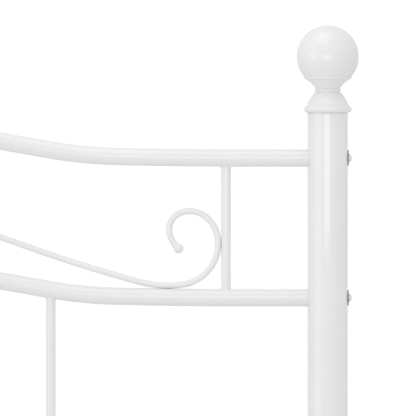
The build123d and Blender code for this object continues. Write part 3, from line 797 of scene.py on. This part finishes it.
# ------------------------------------------------------------------ arms
arm_c = lower_volute()
tail_cx = arm_c.p[0] - TAIL_R * math.sin(math.radians(arm_c.h))
arm_tail = math.degrees(math.asin((HY - SPINDLE_R + 0.2 - tail_cx) / TAIL_R)) - (arm_c.h - 360.0)
arm_c.arc(TAIL_R, arm_tail, 9.0)
arm_pts = arm_c.pts
for side, sx in (("left", -1), ("right", 1)):
    for name, z, seed in ((side + "_arm_top_rail", TOP_Z, 11.0), (side + "_arm_second_rail", SECOND_Z, 14.0)):
        b = Build()
        rail(b, rail_path(HY, True), arm_map(sx, z), 2 * HY, True, seed=seed + sx)
        piece(name + "_tube", b, WHITE, [name])
    b = Build()
    c = Chain((POST_R, 0.0), 0.0).line(2 * HY - 2 * POST_R, 14.0)
    rail(b, c.pts, arm_map(sx, BOTTOM_Z), 2 * HY, True, seed=17.0 + sx)
    piece(side + "_arm_bottom_rail_tube", b, WHITE, [side + "_arm_bottom_rail"])
    mp0 = arm_map(sx, 0.0)
    b = Build()
    for i, d in enumerate((SHORT_D, HY, 2 * HY - SHORT_D)):
        spindle(b, mp0, d, (arm_height, SECOND_Z), (arm_height, TOP_Z), seed=70.0 + 5 * sx + i)
    piece(side + "_arm_short_spindle_tubes", b, WHITE, [side + "_arm_short_spindles"])
    b = Build()
    for i, d in enumerate((2 * HY / 3, 4 * HY / 3)):
        spindle(b, mp0, d, (flat_height, BOTTOM_Z), (arm_height, SECOND_Z), seed=80.0 + 5 * sx + i)
    piece(side + "_arm_lower_spindle_tubes", b, WHITE, [side + "_arm_lower_spindles"])
    b, tips = Build(), Build()
    rear = arm_map(sx, TOP_Z)
    front = lambda d, w, h, f=rear: f(2 * HY - d, w, h)
    for j, mp in enumerate((rear, front)):
        rod(b, arm_pts, mp)
        seed = 90.0 + 7 * j + sx
        bead(b, mp, touch_foot[0], touch_foot[1] - ROD_R, 0.8, 12.0, 2.6, seed, -1.7)
        bead(b, mp, side_x - ROD_R, side_z, 90.0, 10.0, 2.4, seed + 1, -1.5)
        e = arm_pts[-1]
        bead(b, mp, e[0] - 0.6, e[1], 90.0, 9.5, 6.5, seed + 2)
        rod_tip(tips, mp, start, VOLUTE_HEADING, seed + 3)
    piece(side + "_arm_scroll_rods", b, WHITE, [side + "_arm_scrolls"])
    piece(side + "_arm_scroll_end_balls", tips, WHITE, [side + "_arm_scroll_balls"])

# ------------------------------------------------------------------ bolts and saddle washers
WASHER_T, WASHER_R, WASHER_HALF_W, HOLE_R = 1.3, 9.75, 7.6, 3.3


def along_x(rings_profile, sides, fn=None):
    """turned rings about the x axis: profile of (x, r)"""
    out = []
    for x, r in rings_profile:
        ring = []
        for k in range(sides):
            a = 2 * math.pi * k / sides
            rr = r if fn is None else fn(r, a)
            ring.append((x, rr * math.cos(a), rr * math.sin(a)))
        out.append(ring)
    return out


def bolt_head():
    """button head with a hexagon socket, bearing face at x = 0, pointing to -x"""
    b = Build()
    sides = 72
    rings = along_x([(0.0, 3.2), (0.0, 5.0), (-0.12, 5.2), (-0.6, 5.25)], sides)
    rings += along_x([(p[0], p[1]) for p in arc3((-0.75, 5.2), (-2.4, 4.1), (-3.24, 3.0), 14)], sides)
    rings += along_x([(-3.3, 2.85)], sides)

    def hexa(r, a):
        q = (a + math.pi / 6) % (math.pi / 3) - math.pi / 6
        return r / math.cos(q)

    rings += along_x([(-3.3, 2.12), (-3.15, 2.0), (-1.3, 2.0)], sides, hexa)
    rings += along_x([(-1.2, 1.9), (-0.75, 0.3)], sides)
    b.rings(rings)
    return b


def saddle_washer():
    """an oval washer bent to the post, post axis at x = 0"""
    b = Build()
    sides = 96

    def ring(rho, t):
        out = []
        f = min(max((rho - 4.2) / (WASHER_R - 4.2), 0.0), 1.0)
        narrow = 1.0 - f * (1.0 - WASHER_HALF_W / WASHER_R)
        for k in range(sides):
            a = 2 * math.pi * k / sides
            y, z = rho * narrow * math.cos(a), rho * math.sin(a)
            out.append((-math.sqrt((POST_R + t) ** 2 - y * y), y, z))
        return out

    T = WASHER_T
    steps = [(HOLE_R + 0.25, T), (5.0, T), (7.0, T), (8.6, T), (WASHER_R - 0.4, T), (WASHER_R - 0.12, T - 0.12), (WASHER_R, T - 0.4),
             (WASHER_R, 0.4), (WASHER_R - 0.12, 0.12), (WASHER_R - 0.35, 0.02), (8.0, 0.02), (6.0, 0.02), (HOLE_R + 0.2, 0.02), (HOLE_R, 0.25), (HOLE_R, T - 0.25)]
    b.rings([ring(r, t) for r, t in steps], loop=True)
    return b


one_head, one_washer = bolt_head(), saddle_washer()
head_x = -(POST_R + WASHER_T)
back_places = [(HY, z) for z in (TOP_Z, SECOND_Z, BOTTOM_Z)]
deck_places = [(y, z) for y in (HY, -HY) for z in (DECK_TOP - 37.0, DECK_TOP - 13.0)]
for prefix, places in (("back_panel", back_places), ("deck_rail", deck_places)):
    heads, washers = Build(), Build()
    for j, (y0, z0) in enumerate(places):
        for i, s in enumerate((1, -1)):
            turn = math.radians(17.0 + 53.0 * j + 29.0 * i)
            ca, sa = math.cos(turn), math.sin(turn)
            one_head.copy_to(heads, lambda x, y, z: (s * (-HX + head_x + x), y0 + y * ca - z * sa, z0 + y * sa + z * ca))
            one_washer.copy_to(washers, lambda x, y, z: (s * (-HX + x), y0 + y, z0 + z))
            shank = Build()
            shank.rings(along_x([(0.2, 2.8), (0.2, 3.0), (69.4, 3.0), (70.0, 2.5)], 40))
            shank.copy_to(heads, lambda x, y, z: (s * (-HX + head_x + x), y0 + y, z0 + z))
    piece(prefix + "_bolt_set", heads, NICKEL, [prefix + "_bolts"], 32.0)
    piece(prefix + "_washer_set", washers, BLACK, [prefix + "_saddle_washers"], 50.0)

# ------------------------------------------------------------------ deck
for name, sy in (("front_deck_rail", -1), ("back_deck_rail", 1)):
    b = Build()
    zc = (DECK_LO + DECK_TOP) / 2
    sect = rounded_rect(DECK_W, DECK_TOP - DECK_LO, 2.5, 6)
    rings = []
    for s in (0.0, 0.4):
        k = 1 - (0.4 - s) * 0.03
        rings.append([(-HX + math.sqrt(POST_R**2 - (w * k) ** 2) - 0.15 + s, sy * HY + w * k, zc + h * k) for w, h in sect])
    n = 60
    for i in range(n + 1):
        x = -HX + 30 + (2 * HX - 60) * i / n
        rings.append([(x, sy * HY + w, zc + h) for w, h in sect])
    for s in (0.4, 0.0):
        k = 1 - (0.4 - s) * 0.03
        rings.append([(HX - math.sqrt(POST_R**2 - (w * k) ** 2) + 0.15 - s, sy * HY + w * k, zc + h * k) for w, h in sect])
    b.rings(rings)
    piece(name + "_tube", b, WHITE, [name])

_lo, _hi = mm_box("slats")
SLAT_Z0, SLAT_HALF = _lo[2], _hi[1]
slat_xs = [(i - 6) * 150.0 for i in range(13)]
b, caps = Build(), Build()
cap_hi = mm_box("slat_end_caps")[1][1]
for x in slat_xs:
    zc, sect = (SLAT_Z0 + SLAT_TOP) / 2, rounded_rect(30.0, SLAT_TOP - SLAT_Z0, 2.0, 5)
    ys = [-SLAT_HALF, -SLAT_HALF + 0.3] + [-SLAT_HALF + 20 + (2 * SLAT_HALF - 40) * i / 26 for i in range(27)] + [SLAT_HALF - 0.3, SLAT_HALF]
    b.rings([[(x + w * (0.985 if abs(y) == SLAT_HALF else 1), y, zc + h * (0.97 if abs(y) == SLAT_HALF else 1)) for w, h in sect] for y in ys])
    for s in (1, -1):
        rings = []
        for t, k in ((0.0, 1.0), (0.3, 1.0), (1.4, 1.0), (1.9, 0.985), (2.3, 0.95), (2.5, 0.9)):
            q = rounded_rect(30.0 * k + (1 - k) * 6, (SLAT_TOP - SLAT_Z0) * k, 2.0 * k, 5)
            rings.append([(x + w, s * (SLAT_HALF + 0.02 + t * (cap_hi - SLAT_HALF) / 2.5), zc + h) for w, h in q])
        rings.append([(x + w * 0.55, s * (SLAT_HALF + 0.02 + (cap_hi - SLAT_HALF)), zc + h * 0.5) for w, h in rounded_rect(30.0, SLAT_TOP - SLAT_Z0, 2.0, 5)])
        caps.rings(rings)
slat_ob = piece("slat_tubes", b, WHITE, ["slats"])
piece("slat_caps", caps, GREY, ["slat_end_caps"])


def pan_screw():
    b = Build()
    sides = 64

    def rnd(profile):
        return [[(r * math.cos(2 * math.pi * k / sides), r * math.sin(2 * math.pi * k / sides), z) for k in range(sides)] for r, z in profile]

    def cross(arm, half, z):
        ring = []
        for k in range(sides):
            a = 2 * math.pi * k / sides
            c, s = abs(math.cos(a)) + 1e-6, abs(math.sin(a)) + 1e-6
            r = max(min(arm / c, half / s), min(arm / s, half / c))
            ring.append((r * math.cos(a), r * math.sin(a), z))
        return ring

    rings = rnd([(2.5, -16.0), (2.5, -0.1), (4.4, 0.0), (4.7, 0.15), (4.75, 0.8)])
    rings += rnd(arc3((4.72, 0.95), (3.9, 2.1), (2.75, 2.56), 9))
    rings += [cross(2.3, 0.5, 2.6), cross(2.15, 0.42, 2.4), cross(1.1, 0.3, 1.2)]
    b.rings(rings)
    return b


screw = pan_screw()
b = Build()
spots = [(x, y) for x in slat_xs for y in (474.0, -474.0)] + [(slat_xs[i], 0.0) for i in (0, 3, 6, 9, 12)]
# access holes over the screws: a thin top wall with the tube's hollow below it
holes = Build()
SEAT = SLAT_Z0 + 1.2
for x0, y0 in spots:
    holes.rings(lathe([(8.9, SEAT), (8.9, SLAT_TOP - 1.2), (6.25, SLAT_TOP - 1.2), (6.0, SLAT_TOP - 1.0), (6.0, SLAT_TOP - 0.4),
                       (6.12, SLAT_TOP - 0.15), (6.45, SLAT_TOP + 0.05), (6.45, SLAT_TOP + 1.0)], 56, x0, y0))
cut(slat_ob, holes)
for x0, y0 in spots:
    turn = random.random() * math.pi
    ca, sa = math.cos(turn), math.sin(turn)
    screw.copy_to(b, lambda x, y, z: (x0 + x * ca - y * sa, y0 + x * sa + y * ca, SEAT + z))
piece("slat_screw_set", b, ZINC, ["slat_screws"], 32.0)

_lo, _hi = mm_box("centre_beam")
b = Build()
zc, sect = (_lo[2] + _hi[2]) / 2, rounded_rect(30.0, 30.0, 2.5, 6)
b.rings([[(_lo[0] + (_hi[0] - _lo[0]) * i / 64, w, zc + h) for w, h in sect] for i in range(65)])
piece("centre_beam_tube", b, WHITE, ["centre_beam"])
b = Build()
cap_x = mm_box("centre_beam_end_caps")[1][0]
for s in (1, -1):
    rings = []
    for t, k in ((0.0, 1.0), (0.3, 1.0), (1.4, 1.0), (1.9, 0.985), (2.3, 0.95), (2.5, 0.9), (2.5, 0.5)):
        rings.append([(s * (_hi[0] + 0.02 + t * (cap_x - _hi[0]) / 2.5), w * k, zc + h * k) for w, h in sect])
    b.rings(rings)
piece("centre_beam_caps", b, GREY, ["centre_beam_end_caps"])

_lo, _hi = mm_box("centre_legs")
LEG_X, LEG_R, LEG_LO, LEG_HI = _hi[0] - 12.7, 12.7, _lo[2], _hi[2]
b, g = Build(), Build()
for s in (1, -1):
    prof = [(LEG_R - 0.4, LEG_LO), (LEG_R, LEG_LO + 0.4)]
    prof += [(LEG_R, LEG_LO + 6 + (LEG_HI - LEG_LO - 12) * i / 20) for i in range(21)]
    prof += [(LEG_R + fillet_flare(LEG_HI - z, 2.2), z) for z in (LEG_HI - 2.2, LEG_HI - 1.7, LEG_HI - 1.2, LEG_HI - 0.8, LEG_HI - 0.45, LEG_HI - 0.2, LEG_HI)]
    b.rings(lathe(prof, 64, s * LEG_X, 0.0))
    prof = [(6.0, 0.5), (11.0, 0.5), (12.0, 0.0), (15.0, 0.0), (16.2, 0.4), (16.85, 1.2), (17.0, 2.2), (17.0, 3.6), (16.6, 4.6), (15.4, 5.5), (14.2, 5.9), (13.2, LEG_LO), (9.0, LEG_LO)]
    g.rings(lathe(prof, 72, s * LEG_X, 0.0))
piece("centre_leg_tubes", b, WHITE, ["centre_legs"])
piece("centre_leg_feet", g, GREY, ["centre_leg_glides"])

# ------------------------------------------------------------------ floor, light, camera
me = bpy.data.meshes.new("floor")
n, R = 96, 9.0
vs = [(R * math.cos(2 * math.pi * k / n), R * math.sin(2 * math.pi * k / n), -0.0005) for k in range(n)]
me.from_pydata(vs, [], [tuple(range(n))])
floor = bpy.data.objects.new("floor", me)
bpy.context.scene.collection.objects.link(floor)
fm, fnt, fb = base_material("pale_floor")
fb.inputs["Base Color"].default_value = (0.86, 0.86, 0.86, 1)
fb.inputs["Roughness"].default_value = 0.9
ftc = node(fnt, "ShaderNodeTexCoord", -800, 0)
fno = node(fnt, "ShaderNodeTexNoise", -600, 0, Scale=2.0, Detail=3.0)
fnt.links.new(ftc.outputs["Object"], fno.inputs["Vector"])
fr = ramp(fnt, -350, 0, [(0.3, grey(0.85)), (0.7, grey(0.87))])
fnt.links.new(fno.outputs["Fac"], fr.inputs["Fac"])
fnt.links.new(fr.outputs[0], fb.inputs["Base Color"])
me.materials.append(fm)

world = bpy.data.worlds.new("studio")
bpy.context.scene.world = world
world.use_nodes = True
wt = world.node_tree
wt.nodes.clear()
wo = wt.nodes.new("ShaderNodeOutputWorld")
seen = wt.nodes.new("ShaderNodeBackground")
lit = wt.nodes.new("ShaderNodeBackground")
seen.inputs["Color"].default_value = (1, 1, 1, 1)
seen.inputs["Strength"].default_value = 1.02
lit.inputs["Color"].default_value = (1, 1, 1, 1)
# a white room: even light all round, stronger from the walls and the ceiling it faces
place = wt.nodes.new("ShaderNodeTexCoord")
total = None
for axis, strength in [((0, -1, 0), 0.089), ((0, 0, 1), 0.060)]:
    dot = wt.nodes.new("ShaderNodeVectorMath")
    dot.operation = "DOT_PRODUCT"
    dot.inputs[1].default_value = axis
    wt.links.new(place.outputs["Generated"], dot.inputs[0])
    front_only = wt.nodes.new("ShaderNodeMath")
    front_only.operation = "MAXIMUM"
    front_only.inputs[1].default_value = 0.0
    wt.links.new(dot.outputs["Value"], front_only.inputs[0])
    squared = wt.nodes.new("ShaderNodeMath")
    squared.operation = "MULTIPLY"
    wt.links.new(front_only.outputs[0], squared.inputs[0])
    wt.links.new(front_only.outputs[0], squared.inputs[1])
    add = wt.nodes.new("ShaderNodeMath")
    add.operation = "MULTIPLY_ADD"
    add.inputs[1].default_value = strength
    wt.links.new(squared.outputs[0], add.inputs[0])
    if total is None:
        add.inputs[2].default_value = 0.786
    else:
        wt.links.new(total, add.inputs[2])
    total = add.outputs[0]
wt.links.new(total, lit.inputs["Strength"])
lp = wt.nodes.new("ShaderNodeLightPath")
mx = wt.nodes.new("ShaderNodeMixShader")
wt.links.new(lp.outputs["Is Camera Ray"], mx.inputs[0])
wt.links.new(lit.outputs[0], mx.inputs[1])
wt.links.new(seen.outputs[0], mx.inputs[2])
wt.links.new(mx.outputs[0], wo.inputs["Surface"])

# the lights aim at the corner the camera looks at
POST = Vector((-HX, HY, TOP_Z)) * MM


def softbox(name, az, el, dist, w, h, radiance, target=POST, roll=0.0):
    """az is to the right of the camera's axis as the camera sees it, el above it"""
    a, e = math.radians(az), math.radians(el)
    # camera looks along -Y, its right is -X
    d = Vector((-math.sin(a) * math.cos(e), math.cos(a) * math.cos(e), math.sin(e)))
    li = bpy.data.lights.new(name, "AREA")
    li.shape = "RECTANGLE"
    li.size, li.size_y = w, h
    li.energy = radiance * math.pi * w * h
    li.color = (1, 1, 1)
    ob = bpy.data.objects.new(name, li)
    ob.location = target + d * dist
    ob.rotation_euler = (-d).to_track_quat("-Z", "Y").to_euler()
    if roll:
        ob.rotation_euler.rotate_axis("Z", math.radians(roll))
    ob.visible_camera = False
    bpy.context.scene.collection.objects.link(ob)
    return ob


softbox("overhead_box", -43, 72, 2.1, 1.5, 1.4, 1.014)
softbox("front_box", -4, 1.5, 4.0, 2.4, 0.62, 1.392)
softbox("near_box", -2.4, 4.0, 1.0, 0.52, 0.36, 1.044)
softbox("left_box", -58, 4, 4.0, 2.6, 1.8, 0.840)

scene = bpy.context.scene
scene.view_settings.view_transform = "Standard"
scene.view_settings.look = "None"

NECK = POST_TOP + 31.5
DIST = 10000.0
cam = bpy.data.cameras.new("camera")
cam_ob = bpy.data.objects.new("camera", cam)
scene.collection.objects.link(cam_ob)
cam_ob.location = Vector((-HX, HY + DIST, NECK)) * MM
aim = Vector((-HX + 151.3, HY, TOP_Z - 63.2)) * MM
view = aim - cam_ob.location
cam_ob.rotation_euler = view.to_track_quat("-Z", "Y").to_euler()
cam.sensor_width = 36.0
cam.lens = 18.0 / (262.8 * MM / view.length)
cam.clip_start, cam.clip_end = 0.1, 60.0
scene.camera = cam_ob
